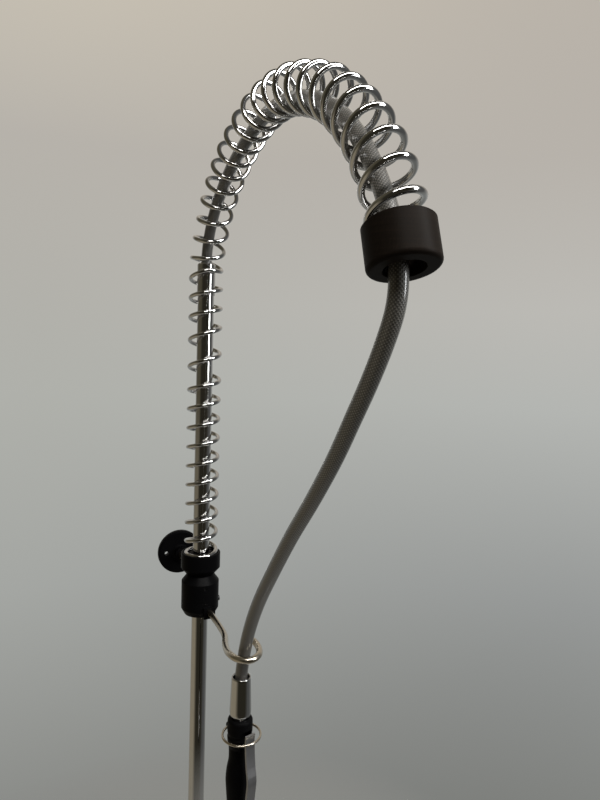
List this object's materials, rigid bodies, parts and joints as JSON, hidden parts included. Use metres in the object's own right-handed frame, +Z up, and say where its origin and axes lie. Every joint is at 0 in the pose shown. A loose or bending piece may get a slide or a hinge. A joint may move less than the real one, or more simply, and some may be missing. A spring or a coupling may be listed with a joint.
{
  "type": "pre-rinse faucet",
  "caption": "Deck-mounted kitchen pre-rinse faucet with a two-handle mixer, a tall riser, an overhead spring arch, a flexible hose with a hook, and a squeeze-lever spray gun.",
  "frame": {"origin": "riser axis at the top surface of the deck", "axes": "+Z up along the riser, -Y towards the user under the arch, +Y towards the wall, +X towards the cold handle"},
  "size_m": [0.1456, 0.5407, 1.1748],
  "materials": {
    "chrome": "bright polished chrome",
    "brass": "plain machined brass",
    "steel": "plain zinc-plated steel",
    "stainless_rod": "warm satin stainless rod",
    "satin_black": "satin black moulded plastic",
    "matte_black": "matte black plastic with a fine grain",
    "rubber": "black sealing rubber",
    "hose_pvc": "clear glossy sleeve over a grey braid",
    "satin_grey": "satin grey stamped sheet",
    "blue_plastic": "blue moulded plastic",
    "red_plastic": "red moulded plastic"
  },
  "bodies": {
    "stand": {"deck_gasket": "rubber", "base_flange": "chrome", "mixer_body": "chrome", "mounting_shank": "brass", "check_valves": "blue_plastic", "rubber_clamp_washer": "rubber", "steel_clamp_washer": "steel", "lock_nut": "brass", "hot_cartridge": "brass", "cold_cartridge": "brass", "riser_seal": "rubber", "riser_union_nut": "chrome", "riser_pipe": "chrome", "riser_hose_seal": "rubber", "riser_hose_sleeve": "chrome", "bracket_ring": "satin_black", "bracket_set_screw": "steel", "wall_arm": "stainless_rod", "wall_disc": "satin_black", "wall_set_screw": "steel"},
    "hot_valve": {"hot_spindle": "steel", "hot_handle": "chrome", "hot_handle_screw": "steel", "hot_index_cap": "red_plastic"},
    "cold_valve": {"cold_spindle": "steel", "cold_handle": "chrome", "cold_handle_screw": "steel", "cold_index_cap": "blue_plastic"},
    "overhead": {"spring_holder": "satin_black", "overhead_spring": "chrome", "spring_end_cap": "matte_black", "hook_ring": "satin_black", "hook_ring_screw": "steel", "hose_hook": "stainless_rod", "upper_hose_tail": "brass", "hose": "hose_pvc", "lower_hose_tail": "brass"},
    "gun": {"hose_cone_nut": "chrome", "gun_washer": "rubber", "grip_core": "chrome", "grip_collar": "matte_black", "grip_cover": "matte_black", "valve_body": "chrome", "lever_pin": "steel", "stem_packing": "rubber", "gland_nut": "chrome", "valve_spring": "steel", "spring_plug": "chrome", "spray_face": "steel", "spray_bumper": "rubber"},
    "lever": {"squeeze_lever": "satin_grey"},
    "stem": {"valve_stem": "brass", "seat_washer": "rubber"},
    "ring": {"hold_ring": "stainless_rod"}
  },
  "joints": [
    {"name": "hot_handle_turn", "type": "hinge", "parent": "stand", "child": "hot_valve", "pos_m": [-0.0626, 0, 0.046], "axis": [-1, 0, 0], "range_deg": [0, 90]},
    {"name": "cold_handle_turn", "type": "hinge", "parent": "stand", "child": "cold_valve", "pos_m": [0.0626, 0, 0.046], "axis": [-1, 0, 0], "range_deg": [0, 90]},
    {"name": "overhead_swing", "type": "hinge", "parent": "stand", "child": "overhead", "pos_m": [0, 0, 0.59], "axis": [0, 0, 1], "range_deg": [-90, 90]},
    {"name": "gun_swivel", "type": "hinge", "parent": "overhead", "child": "gun", "pos_m": [0, -0.154, 0.495], "axis": [0, 0, 1], "continuous": true},
    {"name": "lever_squeeze", "type": "hinge", "parent": "gun", "child": "lever", "pos_m": [0.00543, -0.17428, 0.3042], "axis": [-0.9659, -0.2588, 0], "range_deg": [0, 3.5], "stiffness_Nm_per_rad": 0.5, "springref_deg": -9.74},
    {"name": "valve_stem_slide", "type": "slide", "parent": "gun", "child": "stem", "axis": [-0.2588, 0.9659, 0], "range_m": [0, 0.0015], "deforming": ["valve_spring"]},
    {"name": "hold_ring_swing", "type": "hinge", "parent": "gun", "child": "ring", "pos_m": [-0.00427, -0.13806, 0.4606], "axis": [-0.9659, -0.2588, 0], "range_deg": [0, 35]}
  ],
  "couplings": [
    {"joint": "valve_stem_slide", "follows": "lever_squeeze", "m_per_rad": 0.024}
  ]
}
